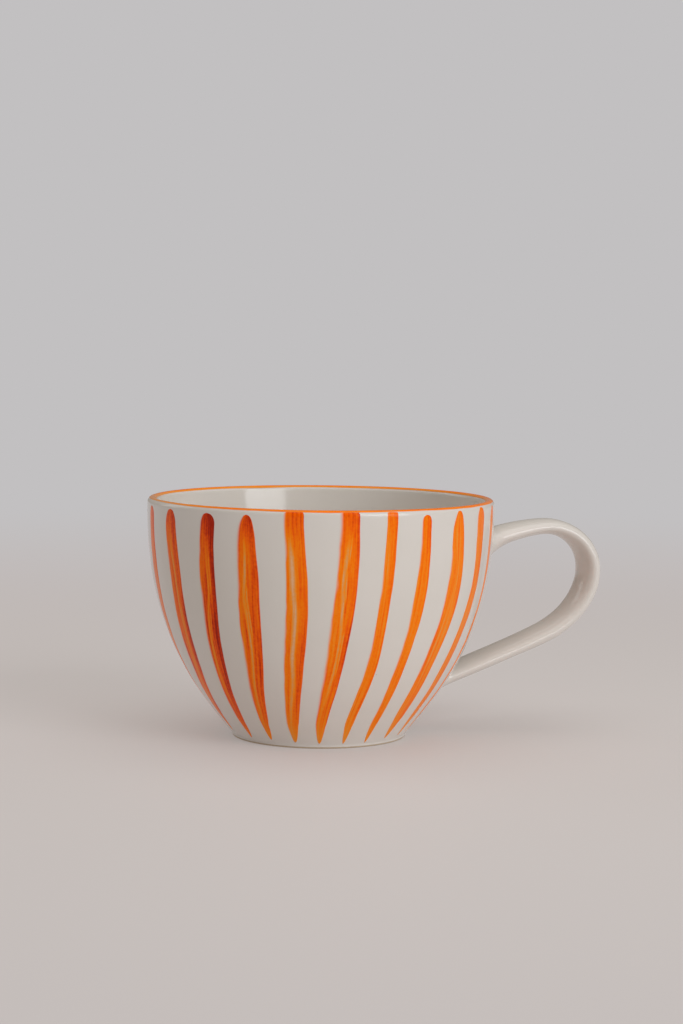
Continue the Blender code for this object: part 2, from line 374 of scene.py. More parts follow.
def flat_mesh(name, rows, uvs, closed=False, ring=False):
    """A sheet through rows of points. A closed one gets an underside that shares its edge. A ring's two
    ends are left open, to be welded to each other once it is wrapped."""
    mesh = bpy.data.meshes.new(name)
    work = bmesh.new()
    layer = work.loops.layers.uv.new("skin")
    for side, grid in enumerate((rows, underside(rows, ring)) if closed else (rows,)):
        points = [[work.verts.new(point) for point in row] for row in grid]
        for j in range(len(points) - 1):
            for i in range(len(points[0]) - 1):
                corners = ((j, i), (j, i + 1), (j + 1, i + 1), (j + 1, i))
                face = work.faces.new([points[a][b] for a, b in (corners if side else reversed(corners))])
                for loop, (a, b) in zip(face.loops, corners if side else list(reversed(corners))):
                    loop[layer].uv = uvs[a][b]
    work.to_mesh(mesh)
    work.free()
    return add_object(name, mesh)


def underside(rows, ring):
    """The same sheet a little under the bowl's skin, meeting the upper side along its edge."""
    under = []
    for j, row in enumerate(rows):
        edge_row = j in (0, len(rows) - 1)
        end_columns = () if ring else (0, len(row) - 1)
        under.append([point if edge_row or i in end_columns else (point[0], point[1], -PAINT_ROOT)
                      for i, point in enumerate(row)])
    return under


def flat_ring(name, section, segments):
    """The whole skin of a turned piece, unrolled, so that it wraps into a ring."""
    marks = lengths_along(section)
    turns = [2 * math.pi * i / segments for i in range(segments + 1)]
    rows = [[(turn, mark, 0.0) for turn in turns] for mark in marks]
    uvs = [[(turn / (2 * math.pi), mark / marks[-1]) for turn in turns] for mark in marks]
    return flat_mesh(name, rows, uvs)


def proud(across):
    """How far paint stands off the glaze from edge (-1) to edge (1): a low dome, sunk at its edges."""
    sunk = 0.35
    return PAINT_DEPTH * ((1 + sunk) * math.sqrt(max(0.0, 1 - across ** 4)) - sunk)


def wander(where, seed, reach):
    """A smooth, repeatable wander of the brush."""
    return reach * noise.noise(Vector((where, seed * 7.31, 3.7)))


# Rim line, in degrees over the lip's round from its crest: inwards and down the outside
RIM_LINE_INSIDE = 56
RIM_LINE_OUTSIDE = 52
RIM_LINE_THICKER = 1.3          # a line this much thicker than a stroke
# The brush ran dry at this turn and for so many degrees to each side: the line narrows and pales
DRY_TURN = FRONT + math.radians(-70)
DRY_SPREAD = 24
DRY_NARROWER = 12               # degrees less down the outside
DRY_PALER = 0.62                # share of the pigment that is missing


def flat_rim_line():
    """The painted line along the lip, wavering at both edges and thin for a stretch."""
    across_steps, around_steps = 12, 360
    degree = LIP_ROUND * math.pi / 180
    rows, uvs = [], []
    for j in range(across_steps + 1):
        across = 2 * j / across_steps - 1
        row, row_uvs = [], []
        for i in range(around_steps + 1):
            turn = 2 * math.pi * i / around_steps
            ring = Vector((math.cos(turn), math.sin(turn), 0.0))
            low = RIM_LINE_OUTSIDE + 6 * noise.noise(ring * 2.1) + 4 * noise.noise(ring * 7.0)
            high = RIM_LINE_INSIDE + 9 * noise.noise(ring * 2.6 + Vector((5, 0, 0)))
            low -= DRY_NARROWER * rim_thinness(turn)
            mark = MARKS[CREST] + degree * ((low - high) / 2 + across * (low + high) / 2)
            row.append((turn, mark, RIM_LINE_THICKER * proud(across)))
            row_uvs.append((i / around_steps, j / across_steps))
        rows.append(row)
        uvs.append(row_uvs)
    made = flat_mesh("rim_line_flat", rows, uvs, closed=True, ring=True)
    loaded = made.data.attributes.new("load", 'FLOAT', 'POINT')
    for vertex, entry in zip(made.data.vertices, loaded.data):
        entry.value = 1 - DRY_PALER * rim_thinness(vertex.co.x)
    return made


def rim_thinness(turn):
    """From 0 to 1 where the brush ran dry, on the side away from the handle."""
    off = math.degrees(math.atan2(math.sin(turn - DRY_TURN), math.cos(turn - DRY_TURN)))
    return math.exp(-(off / DRY_SPREAD) ** 2)


# Brush strokes. Turn from the painted front in degrees and width in mm at these heights, then the
# height of the top, how blunt it is, the height of the tip, load of pigment, strength of the pale channel
STROKE_HEIGHTS = (8, 28, 52, 75)
STROKES = (
    ((-82, 3.2), (-76.5, 5.6), (-73.5, 6.0), (-72.8, 5.6), 77.3, 0.6, 2.9, 0.6, 0.5),
    ((-66.5, 4.2), (-58.6, 6.7), (-55.8, 7.0), (-56.6, 6.6), 77.4, 0.7, 2.8, 0.85, 0.84),
    ((-46.2, 3.1), (-42, 5.7), (-39.6, 6.6), (-38.4, 6.4), 77.3, 0.55, 1.9, 1.12, 0.86),
    ((-30.0, 3.4), (-25.8, 6.7), (-23.7, 7.9), (-23.8, 6.4), 77.5, 1.2, 2.2, 0.80, 0.87),
    ((-14.0, 4.4), (-9.8, 6.5), (-7.5, 7.2), (-8.2, 7.0), 79.1, 0.1, 1.9, 0.66, 1.0),
    ((0.9, 3.9), (5.2, 6.2), (8.2, 7.3), (8.9, 7.1), 79.1, 0.1, 1.7, 0.62, 0.9),
    ((15.8, 3.0), (19.8, 4.1), (21.8, 4.1), (23.0, 3.9), 79.0, 0.15, 1.6, 0.45, 0.25),
    ((30.4, 2.6), (32.4, 3.7), (34.8, 4.8), (35.4, 4.2), 77.6, 0.6, 1.5, 0.45, 0.25),
    ((45.5, 4.0), (46.7, 6.0), (50, 7.4), (50, 5.9), 78.3, 1.3, 2.2, 0.4, 0.35),
    ((59, 3.2), (60, 4.8), (63.3, 5.0), (63.7, 5.8), 78.6, 0.8, 2.2, 0.35, 0.25),
    ((70, 2.6), (72.5, 3.8), (75, 4.0), (76.2, 5.6), 78.3, 0.7, 2.4, 0.35, 0.3),
    ((82, 3.2), (85.5, 5.0), (88.5, 6.0), (89.5, 5.6), 78.0, 0.7, 2.4, 0.6, 0.6),
)
STROKES_BEHIND = 10             # more of the same, beyond the handle, from this turn on and this far apart
BEHIND_START = 124.5
BEHIND_SPACING = 16.2
LIFT_OFF = 7.5                  # mm over which a stroke draws out to its tip
STROKE_ROWS, STROKE_COLUMNS = 110, 14
UV_LENGTH = 100                 # mm along a stroke to one unit of its UV map


def strokes_behind():
    """Strokes round the rest of the bowl, each a varied copy of the front's manner."""
    made = []
    for i in range(STROKES_BEHIND):
        vary = [noise.noise(Vector((i * 3.17 + 0.5, k * 5.3 + 0.5, 9.1))) for k in range(7)]
        turn = BEHIND_START + BEHIND_SPACING * i + 3 * vary[0]
        wide = 5.8 + 2.6 * vary[1]
        lean = min(1.0, i / 2)      # the ones beside the handle's root stand upright
        turns = (turn - 7 * lean + 3 * vary[2], turn - 2.5 * lean + 2 * vary[2], turn, turn + 1.5 * vary[4])
        widths = (0.55 * wide, 0.92 * wide, wide * (1.05 + 0.2 * vary[3]), 0.95 * wide)
        top, bluntness, tip = 78.2 + 1.4 * vary[5], 0.7 + 0.5 * vary[6], 2.3 + 1.2 * vary[3]
        load, streak = 0.6 + 0.5 * vary[2], 0.6 + 0.8 * vary[5]
        made.append((*zip(turns, widths), top, bluntness, tip, load, streak))
    return made


def through(knots, height):
    """A smooth value through knots of (height, value), at a height between the first and the last."""
    knots = [knots[0], *knots, knots[-1]]
    for before, low, high, after in zip(knots, knots[1:], knots[2:], knots[3:]):
        if height <= high[0]:
            break
    span = high[0] - low[0]
    share = (height - low[0]) / span
    slope_low = (high[1] - before[1]) / (high[0] - before[0])
    slope_high = (after[1] - low[1]) / (after[0] - low[0])
    blend = 3 * share ** 2 - 2 * share ** 3
    return ((1 - blend) * low[1] + blend * high[1]
            + span * ((share ** 3 - 2 * share ** 2 + share) * slope_low
                      + (share ** 3 - share ** 2) * slope_high))


def side_wander(height, width, seed, slow, quick):
    """How far one side of a stroke wanders at a height, over a slow and a quick length, all in mm."""
    return width * wander(height / slow, seed, 0.08) + wander(height / quick, seed + 40, 0.10)


def flat_stroke(name, stroke, seed):
    """One brush stroke: it lands blunt, swells, leans as it runs down and lifts off in a tip."""
    *knots, top, bluntness, tip, load, streak = stroke
    turns = [(height, turn) for height, (turn, _) in zip(STROKE_HEIGHTS, knots)]
    widths = [(height, width) for height, (_, width) in zip(STROKE_HEIGHTS, knots)]
    lowest, highest = STROKE_HEIGHTS[0], STROKE_HEIGHTS[-1]
    slant = (turns[0][1] - turns[1][1]) / 60    # degrees for each mm below the lowest knot
    rows, uvs = [], []
    for j in range(STROKE_ROWS + 1):
        # rows lie closer together at both ends
        share = 0.5 - 0.5 * math.cos(math.pi * j / STROKE_ROWS)
        height = top + (tip - top) * (0.35 * share + 0.65 * j / STROKE_ROWS)
        held = min(max(height, lowest), highest)
        lean = through(turns, held) + slant * max(0.0, held - height)
        width = through(widths, held)
        landing = min(1.0, max(0.0, top - height) / (bluntness * width))
        lifting = min(1.0, max(0.0, height - tip) / LIFT_OFF)
        width *= math.sqrt(max(0.0, 1 - (1 - landing) ** 2)) * lifting ** 0.55
        left = -width / 2 + side_wander(height, width, seed, 17, 5.1)
        right = width / 2 + side_wander(height, width, seed + 80, 19, 5.7)
        # no wander where the stroke closes
        ends = min(1.0, landing * 2.5, lifting * 4)
        left, right = left * ends - width / 2 * (1 - ends), right * ends + width / 2 * (1 - ends)
        radius = skin_radius(height * MM)
        row, row_uvs = [], []
        for i in range(STROKE_COLUMNS + 1):
            across = math.sin(math.pi / 2 * (2 * i / STROKE_COLUMNS - 1))
            along = (left + right) / 2 + across * (right - left) / 2
            turn = FRONT + math.radians(lean) + along * MM / radius
            depth = proud(across) if 0 < j < STROKE_ROWS else proud(1.0)
            row.append((turn, mark_at_height(height * MM), depth))
            row_uvs.append(((across + 1) / 2, (top - height) / UV_LENGTH))
        rows.append(row)
        uvs.append(row_uvs)
    made = flat_mesh(name + "_flat", rows, uvs, closed=True)
    for label, value in (("brush", seed), ("load", load), ("streak", streak)):
        layer = made.data.attributes.new(label, 'FLOAT', 'POINT')
        for entry in layer.data:
            entry.value = value
    return made


# ---------- handle and its fillets

STEPS_PER_SPAN = 26
STRAP_SIDES = 64
STRAP_UNEVENNESS = 0.10 * MM

# Slip fillets: how far they reach along the strap and along the wall, in mm, on the loop's outer side, at
# the strap's edges and on the loop's inner side. The path's stations near the upper root end at the first
# number of stations, and those near the lower root start at the second.
UPPER_SLIP = ((4.5, 1.8), (8, 4.2), (14, 8.0))
UPPER_STATIONS = 70
LOWER_SLIP = ((9, 5), (5, 3), (2.5, 1.6))
LOWER_STATIONS = 60
SLIP_SIDES, SLIP_STEPS = 88, 12
SLIP_SUNK = 0.10 * MM           # how far its edges end under the skins that they join
SLIP_ROOT = 0.9 * MM            # how far its hidden back lies under the strap and the corner
SLIP_ROOT_IN_WALL = 1.1 * MM
SLIP_FULLNESS = 0.62            # how far its hollow curve is pulled into the corner


def knot_place(knot):
    """A strap knot's place in the handle's plane."""
    return Vector((knot[0], 0, knot[1])) * MM


def knot_pull(knot):
    """The way the strap runs through a knot, as long as its curve handle."""
    heading = math.radians(knot[2])
    return Vector((math.cos(heading), 0, math.sin(heading))) * knot[3] * MM


def strap_path():
    """The handle's middle line as (place, direction, size of section), from upper root to lower root."""
    stations = []
    for here, there in zip(STRAP_KNOTS, STRAP_KNOTS[1:]):
        start, end = knot_place(here), knot_place(there)
        places = interpolate_bezier(start, start + knot_pull(here), end - knot_pull(there), end,
                                    STEPS_PER_SPAN)
        for i, place in enumerate(places if there is STRAP_KNOTS[-1] else places[:-1]):
            share = i / (STEPS_PER_SPAN - 1)
            ease = share * share * (3 - 2 * share)
            stations.append((place, here[4] + (there[4] - here[4]) * ease))
    path = []
    for i, (place, size) in enumerate(stations):
        ahead = stations[min(i + 1, len(stations) - 1)][0] - stations[max(i - 1, 0)][0]
        path.append((place, ahead.normalized(), size))
    return path


def strap_skin(station, turn):
    """A point on the strap's skin, from the bowl's axis. A turn of 90 degrees is the loop's outer side."""
    place, along, size = station
    outer = Vector((-along.z, 0, along.x))
    wide = STRAP_WIDTH / 2 * size * math.cos(turn)
    thick = STRAP_THICKNESS / 2 * size * math.sin(turn)
    return place + Vector((0, wide, 0)) + outer * thick


def depth_in_wall(point):
    """How far a point, measured level from the bowl's axis, lies inside the bowl's outer skin."""
    return skin_radius(point.z) - math.hypot(point.x, point.y)


def make_handle(tree, finish):
    """The strap, swept and pressed into the wall at both ends."""
    path = [station for station in strap_path() if depth_in_wall(station[0]) < 3 * ROOT_DEPTH]
    middle = curve_through("handle_path", [(place.x + AXIS, 0.0, place.z, size) for place, _, size in path])
    piece = run_tree("handle_strap", middle, tree, Width=STRAP_WIDTH, Thickness=STRAP_THICKNESS,
                     Sides=STRAP_SIDES, Unevenness=STRAP_UNEVENNESS, Weld=WELD, Finish=finish)
    for vertex in piece.data.vertices:
        place = vertex.co - Vector((AXIS, 0, 0))
        over = depth_in_wall(place) - ROOT_DEPTH
        if over > 0:
            level = Vector((place.x, place.y, 0)).normalized()
            vertex.co += level * over
    return piece


def root_line(path, turn):
    """Where one line of the strap's skin meets the wall at a root, and the line up to there."""
    line = [strap_skin(station, turn) for station in path]
    for i, (here, there) in enumerate(zip(line, line[1:])):
        before, after = depth_in_wall(here), depth_in_wall(there)
        if before < 0 <= after:
            meet = here.lerp(there, -before / (after - before))
            return meet, line[:i + 1]
    return line[-1], line[:-1]


def wall_normal(point):
    """Outward normal of the bowl's skin beside a point."""
    lean = (skin_radius(point.z + MM) - skin_radius(point.z - MM)) / (2 * MM)
    level = Vector((point.x, point.y, 0)).normalized()
    return Vector((level.x, level.y, -lean)).normalized()


def on_skin(point, sunk):
    """The point moved level onto the bowl's skin, sunk in by a little."""
    level = Vector((point.x, point.y, 0)).normalized()
    return level * (skin_radius(point.z) - sunk) + Vector((0, 0, point.z))


def walk_back(meet, line, distance):
    """The place on a line this far back from where it meets the wall."""
    here = meet
    for there in reversed(line):
        step = (there - here).length
        if step >= distance:
            return here.lerp(there, distance / step)
        distance -= step
        here = there
    return here


def slip_fillet(name, path, sizes, finish):
    """Slip wiped into the corner round the root at the end of a path."""
    outer, edge, inner = sizes
    middle = sum((root_line(path, 2 * math.pi * i / 8)[0] for i in range(8)), Vector()) / 8
    rings = []
    for i in range(SLIP_SIDES):
        turn = 2 * math.pi * i / SLIP_SIDES
        meet, line = root_line(path, turn)
        share = math.sin(turn)
        ends = [e + ((o if share > 0 else n) - e) * abs(share) ** 1.3 for o, e, n in zip(outer, edge, inner)]
        wobble = 1 + 0.10 * noise.noise(Vector((math.cos(turn), math.sin(turn), len(name))) * 1.7)
        start = walk_back(meet, line, ends[0] * MM * wobble)
        nearby = walk_back(meet, line, ends[0] * MM * wobble + 0.6 * MM)
        along = (start - nearby).normalized()
        off = (meet - middle).normalized()
        side = wall_normal(meet)
        off = (off - side * off.dot(side)).normalized()
        end = on_skin(meet + off * ends[1] * MM * wobble, SLIP_SUNK)
        side_end = wall_normal(end)
        off_end = (off - side_end * off.dot(side_end)).normalized()
        centre = min(path, key=lambda station: (station[0] - start).length)
        outer_side = Vector((-centre[1].z, 0, centre[1].x))
        edge_side = Vector((0, math.cos(turn) / STRAP_WIDTH, 0))
        skin_out = (edge_side + outer_side * math.sin(turn) / STRAP_THICKNESS).normalized()
        start = start - skin_out * SLIP_SUNK
        pull_start = along * (meet - start).length * SLIP_FULLNESS
        pull_end = off_end * (meet - end).length * SLIP_FULLNESS
        curve = interpolate_bezier(start, start + pull_start, end - pull_end, end, SLIP_STEPS)
        hidden = [end - side_end * SLIP_ROOT_IN_WALL, meet - (side + skin_out) * SLIP_ROOT,
                  start - skin_out * SLIP_ROOT]
        rings.append(list(curve) + hidden)
    mesh = bpy.data.meshes.new(name)
    work = bmesh.new()
    points = [[work.verts.new(point + Vector((AXIS, 0, 0))) for point in ring] for ring in rings]
    for i, ring in enumerate(points):
        following = points[(i + 1) % SLIP_SIDES]
        for j in range(len(ring)):
            k = (j + 1) % len(ring)
            work.faces.new((ring[j], ring[k], following[k], following[j]))
    work.to_mesh(mesh)
    work.free()
    mesh.materials.append(finish)
    return face_outwards(add_object(name, mesh))


# ---------- materials

def new_material(name):
    """An empty node material, its tree and the place on the piece that its patterns are drawn by."""
    made = bpy.data.materials.new(name)
    made.use_nodes = True
    tree = made.node_tree
    tree.nodes.clear()
    return made, tree, add(tree, "ShaderNodeTexCoord").outputs["Object"]


def painted_skin(tree):
    """Where a point of paint lies in its UV map: across, then along."""
    skin = add(tree, "ShaderNodeUVMap", uv_map="skin")
    flat = add(tree, "ShaderNodeSeparateXYZ", (skin,))
    return flat.outputs["X"], flat.outputs["Y"]


def painted_with(tree, *labels):
    """The values that a painted piece carries under these names."""
    return [add(tree, "ShaderNodeAttribute", attribute_name=label).outputs["Fac"] for label in labels]


GLAZE_THIN, GLAZE_THICK, IRON_SPECK = "D9D3CB", "E1DBD5", "B39A7C"


def glaze_colour(tree, where):
    """Cream glaze: faint clouds where it lies thicker, and sparse specks of iron from the clay."""
    clouds = add(tree, "ShaderNodeTexNoise", {"Vector": where, "Scale": 1 / (22 * MM), "Detail": 3.0})
    tone = add(tree, "ShaderNodeMix", {"Factor": clouds, COLOUR_A: hex_linear(GLAZE_THIN),
                                       COLOUR_B: hex_linear(GLAZE_THICK)}, data_type='RGBA')
    # cells of 5 mm, about one in ten of them with a soft dot up to half a millimetre across
    cells = add(tree, "ShaderNodeTexVoronoi", {"Vector": where, "Scale": 1 / (5.0 * MM)})
    dots = add(tree, "ShaderNodeMapRange", (cells.outputs["Distance"], 0.055, 0.025))
    chosen = add(tree, "ShaderNodeSeparateColor", (cells.outputs["Color"],))
    few = add(tree, "ShaderNodeMapRange", (chosen, 0.86, 0.96, 0.0, 0.55))
    specks = add(tree, "ShaderNodeMath", (dots, few), operation='MULTIPLY')
    speckled = add(tree, "ShaderNodeMix", {"Factor": specks, COLOUR_A: tone.outputs[COLOUR_OUT],
                                           COLOUR_B: hex_linear(IRON_SPECK)}, data_type='RGBA')
    return speckled.outputs[COLOUR_OUT]


GLAZE_ROUGHNESS = 0.115
PAINT_MIRROR = 0.12             # the pigment dulls the glaze over it


def glaze_finish(tree, where, colour, mirror=0.5):
    """The glossy skin: a slow unevenness that bends reflections, and a very fine orange peel."""
    slow = add(tree, "ShaderNodeTexNoise", {"Vector": where, "Scale": 1 / (16 * MM), "Detail": 1.0})
    fine = add(tree, "ShaderNodeTexNoise", {"Vector": where, "Scale": 1 / (1.4 * MM), "Detail": 2.0})
    wavy = add(tree, "ShaderNodeBump", {"Height": slow, "Distance": 0.10 * MM})
    peel = add(tree, "ShaderNodeBump",
               {"Height": fine, "Distance": 0.006 * MM, "Normal": wavy})
    sheen = add(tree, "ShaderNodeMapRange", (slow, 0.3, 0.7, GLAZE_ROUGHNESS - 0.03, GLAZE_ROUGHNESS + 0.04))
    shader = add(tree, "ShaderNodeBsdfPrincipled", {"Base Color": colour, "Roughness": sheen, "IOR": 1.5,
                                                    "Normal": peel, "Specular IOR Level": mirror})
    add(tree, "ShaderNodeOutputMaterial", {"Surface": shader})


def cream_glaze():
    """Glossy cream glaze fired on stoneware: warm off-white, faintly clouded, a few tan specks."""
    made, tree, where = new_material("cream_glaze_on_stoneware")
    glaze_finish(tree, where, glaze_colour(tree, where))
    return made


# Colour of the fired underglaze from hardly any of it to a pool
PIGMENT = ((0.0, "E8AC7A"), (0.14, "E89C54"), (0.32, "FA9122"), (0.50, "FF7F00"), (0.70, "FA6200"),
           (0.86, "DC3E00"), (1.0, "AC2000"))


def pigment_over_glaze(tree, where, density, edge):
    """Orange underglaze: peach where the brush left little, red where it pooled, none past its edge."""
    ramp = add(tree, "ShaderNodeValToRGB", (density,))
    while len(ramp.color_ramp.elements) < len(PIGMENT):
        ramp.color_ramp.elements.new(1.0)
    for spot, (place, code) in zip(ramp.color_ramp.elements, PIGMENT):
        spot.position = place
        spot.color = hex_linear(code)
    cover = add(tree, "ShaderNodeMapRange", (density, -0.45, 0.10), **SMOOTH)
    covered = add(tree, "ShaderNodeMath", (cover, edge), operation='MULTIPLY')
    mixed = add(tree, "ShaderNodeMix",
                {"Factor": covered, COLOUR_A: glaze_colour(tree, where), COLOUR_B: ramp}, data_type='RGBA')
    return mixed.outputs[COLOUR_OUT]


def brushed_orange():
    """Orange underglaze laid with one loaded brush: bristle streaks along the stroke, a pale dry channel, a
    darker pool where it landed, more pigment to the right and a feathered left side."""
    made, tree, where = new_material("brushed_orange_underglaze")
    across, along = painted_skin(tree)
    brush, load, streak = painted_with(tree, "brush", "load", "streak")
    shifted = add(tree, "ShaderNodeCombineXYZ", (across, along, brush))
    # bristle streaks: an eighth of the stroke wide, 28 mm long, drawn as coarse as they need to show
    bristles = add(tree, "ShaderNodeVectorMath", (shifted, (8.0, 3.6, 3.3)), operation='MULTIPLY')
    lines = add(tree, "ShaderNodeTexNoise",
                {"Vector": bristles, "Scale": 1.0, "Detail": 4.0, "Roughness": 0.6})
    # patches where the brush held more or less, 14 mm long
    patches = add(tree, "ShaderNodeVectorMath", (shifted, (1.6, 7.0, 9.1)), operation='MULTIPLY')
    clouds = add(tree, "ShaderNodeTexNoise", {"Vector": patches, "Scale": 1.0, "Detail": 2.0})
    lined = add(tree, "ShaderNodeMath", (lines, 1.00, -0.44), operation='MULTIPLY_ADD')
    clouded = add(tree, "ShaderNodeMath", (clouds, 0.30, lined), operation='MULTIPLY_ADD')
    # pigment settling in fine grains
    grains = add(tree, "ShaderNodeTexNoise", {"Vector": where, "Scale": 1 / (0.9 * MM), "Detail": 2.0})
    grained = add(tree, "ShaderNodeMath", (grains, 0.26, clouded), operation='MULTIPLY_ADD')
    loaded = add(tree, "ShaderNodeMath", (load, 0.36, grained), operation='MULTIPLY_ADD')
    # the right side of the brush carries more
    tilt = add(tree, "ShaderNodeMapRange", (across, 0.0, 1.0, -0.10, 0.18))
    tilted = add(tree, "ShaderNodeMath", (tilt, load, loaded), operation='MULTIPLY_ADD')
    # a pool over the 12 mm where the brush landed
    landing = add(tree, "ShaderNodeMapRange", (along, 0.12, 0.0, 0.0, 0.16), **SMOOTH)
    pooled = add(tree, "ShaderNodeMath", (landing, load, tilted), operation='MULTIPLY_ADD')
    # the pale channel wanders along the middle, and closes between 50 and 80 mm down
    drift = add(tree, "ShaderNodeVectorMath", (shifted, (0.0, 3.0, 5.7)), operation='MULTIPLY')
    wandering = add(tree, "ShaderNodeTexNoise", {"Vector": drift, "Scale": 1.0, "Detail": 1.0})
    middle = add(tree, "ShaderNodeMapRange", (wandering, 0.3, 0.7, 0.28, 0.56))
    off = add(tree, "ShaderNodeMath", (across, middle), operation='SUBTRACT')
    away = add(tree, "ShaderNodeMath", (off,), operation='ABSOLUTE')
    # a weaker channel is a narrower one
    half_width = add(tree, "ShaderNodeMapRange", (streak, 0.8, 1.0, 0.07, 0.18))
    channel = add(tree, "ShaderNodeMapRange", (away, half_width, 0.02), **SMOOTH)
    opening = add(tree, "ShaderNodeMapRange", (along, 0.04, 0.16), **SMOOTH)
    closing = add(tree, "ShaderNodeMapRange", (along, 0.80, 0.50), **SMOOTH)
    # one bristle's hair line beside it, broken by gaps
    beside = add(tree, "ShaderNodeMath", (off, 0.13), operation='SUBTRACT')
    thin_away = add(tree, "ShaderNodeMath", (beside,), operation='ABSOLUTE')
    hair = add(tree, "ShaderNodeMapRange", (thin_away, 0.055, 0.015), **SMOOTH)
    gaps = add(tree, "ShaderNodeMapRange", (clouds, 0.42, 0.56))
    broken = add(tree, "ShaderNodeMath", (hair, gaps), operation='MULTIPLY')
    channels = add(tree, "ShaderNodeMath", (channel, broken), operation='MAXIMUM')
    stretch = add(tree, "ShaderNodeMath", (opening, closing), operation='MULTIPLY')
    strength = add(tree, "ShaderNodeMath", (stretch, streak), operation='MULTIPLY')
    pale = add(tree, "ShaderNodeMath", (channels, strength), operation='MULTIPLY')
    paled = add(tree, "ShaderNodeMath", (pale, -0.46, pooled), operation='MULTIPLY_ADD')
    # edges: the right one crisp, the left one feathered where the brush was dry; and a paler tip
    right = add(tree, "ShaderNodeMapRange", (across, 1.0, 0.955), **SMOOTH)
    left_reach = add(tree, "ShaderNodeMapRange", (clouds, 0.36, 0.72, 0.08, 0.26))
    left = add(tree, "ShaderNodeMapRange", (across, 0.0, left_reach), **SMOOTH)
    both = add(tree, "ShaderNodeMath", (left, right), operation='MULTIPLY')
    lifting = add(tree, "ShaderNodeMapRange", (along, 0.80, 0.64, 0.42), **SMOOTH)
    density = add(tree, "ShaderNodeMath", (paled, lifting), operation='MULTIPLY', use_clamp=True)
    glaze_finish(tree, where, pigment_over_glaze(tree, where, density, both), mirror=PAINT_MIRROR)
    return made


def brushed_rim():
    """The same orange drawn along the lip with a fine brush: denser outside, thinner inside."""
    made, tree, where = new_material("rim_line_orange_underglaze")
    _, across = painted_skin(tree)
    patches = add(tree, "ShaderNodeTexNoise", {"Vector": where, "Scale": 1 / (14 * MM), "Detail": 3.0})
    inside = add(tree, "ShaderNodeMapRange", (across, -0.25, 0.45), **SMOOTH)
    outside = add(tree, "ShaderNodeMapRange", (across, 1.0, 0.9), **SMOOTH)
    strength = add(tree, "ShaderNodeMapRange", (patches, 0.3, 0.7, 0.40, 0.58))
    thinned = add(tree, "ShaderNodeMath", (strength, inside), operation='MULTIPLY')
    load, = painted_with(tree, "load")
    density = add(tree, "ShaderNodeMath", (thinned, load), operation='MULTIPLY')
    glaze_finish(tree, where, pigment_over_glaze(tree, where, density, outside), mirror=PAINT_MIRROR)
    return made


GROG, BUFF, CLAY_STAIN = "A8947A", "D2C2AC", "BFA98D"


def bare_clay():
    """Fired stoneware where the glaze was sponged off: matt, sandy, buff with darker grog."""
    made, tree, where = new_material("bare_fired_stoneware")
    sand = add(tree, "ShaderNodeTexNoise", {"Vector": where, "Scale": 1 / (0.5 * MM), "Detail": 4.0})
    stains = add(tree, "ShaderNodeTexNoise", {"Vector": where, "Scale": 1 / (9 * MM), "Detail": 2.0})
    buff = add(tree, "ShaderNodeMix", {"Factor": sand, COLOUR_A: hex_linear(GROG),
                                       COLOUR_B: hex_linear(BUFF)}, data_type='RGBA')
    toned = add(tree, "ShaderNodeMix", {"Factor": stains, COLOUR_A: buff.outputs[COLOUR_OUT],
                                        COLOUR_B: hex_linear(CLAY_STAIN)}, data_type='RGBA')
    grain = add(tree, "ShaderNodeBump", {"Height": sand, "Distance": 0.05 * MM})
    shader = add(tree, "ShaderNodeBsdfPrincipled",
                 {"Base Color": toned.outputs[COLOUR_OUT], "Roughness": 0.85, "Normal": grain})
    add(tree, "ShaderNodeOutputMaterial", {"Surface": shader})
    return made


# ---------- stage

BACKDROP = "C2C0C1"
ROOM = "928C85"                 # lights the mug from all round
FLOOR_NEAR, FLOOR_ROUND = "EBE5E2", "C0B9B7"
FLOOR_RADIUS = 6.0


def make_floor():
    """A pale floor that takes shade close to the mug and fades outwards to one tone, then the backdrop's."""
    mesh = bpy.data.meshes.new("floor")
    work = bmesh.new()
    bmesh.ops.create_circle(work, cap_ends=True, segments=96, radius=FLOOR_RADIUS)
    work.to_mesh(mesh)
    work.free()
    floor = add_object("floor", mesh)
    made, tree, where = new_material("pale_floor")
    far = add(tree, "ShaderNodeVectorMath", (where,), operation='LENGTH')
    fade = add(tree, "ShaderNodeMapRange", (far.outputs["Value"], 0.06, 0.60, 0.42), **SMOOTH)
    near = add(tree, "ShaderNodeBsdfPrincipled", {"Base Color": hex_linear(FLOOR_NEAR), "Roughness": 0.55})
    beyond = add(tree, "ShaderNodeMapRange", (far.outputs["Value"], 0.30, 1.0), **SMOOTH)
    tone = add(tree, "ShaderNodeMix", {"Factor": beyond, COLOUR_A: hex_linear(FLOOR_ROUND),
                                       COLOUR_B: hex_linear(BACKDROP)}, data_type='RGBA')
    away = add(tree, "ShaderNodeEmission", {"Color": tone.outputs[COLOUR_OUT], "Strength": 1.0})
    mixed = add(tree, "ShaderNodeMixShader", (fade, near, away))
    add(tree, "ShaderNodeOutputMaterial", {"Surface": mixed})
    mesh.materials.append(made)


# Soft lights: degrees round from the painted front, distance from the bowl's axis, height, width and
# length, watts, colour, and how much of the light shows as a reflection
LIGHTS = (
    ("window_right", 43, 1.35, 0.52, (0.80, 0.90), 9.8, "F9FCFF", 1.0),
    ("window_left_behind", -120, 1.2, 0.6, (0.5, 0.7), 0.9, "FFFFFF", 0.0),
    ("ceiling", 0, 0.1, 1.9, (2.2, 2.2), 15.0, "FFFFFF", 0.3),
)


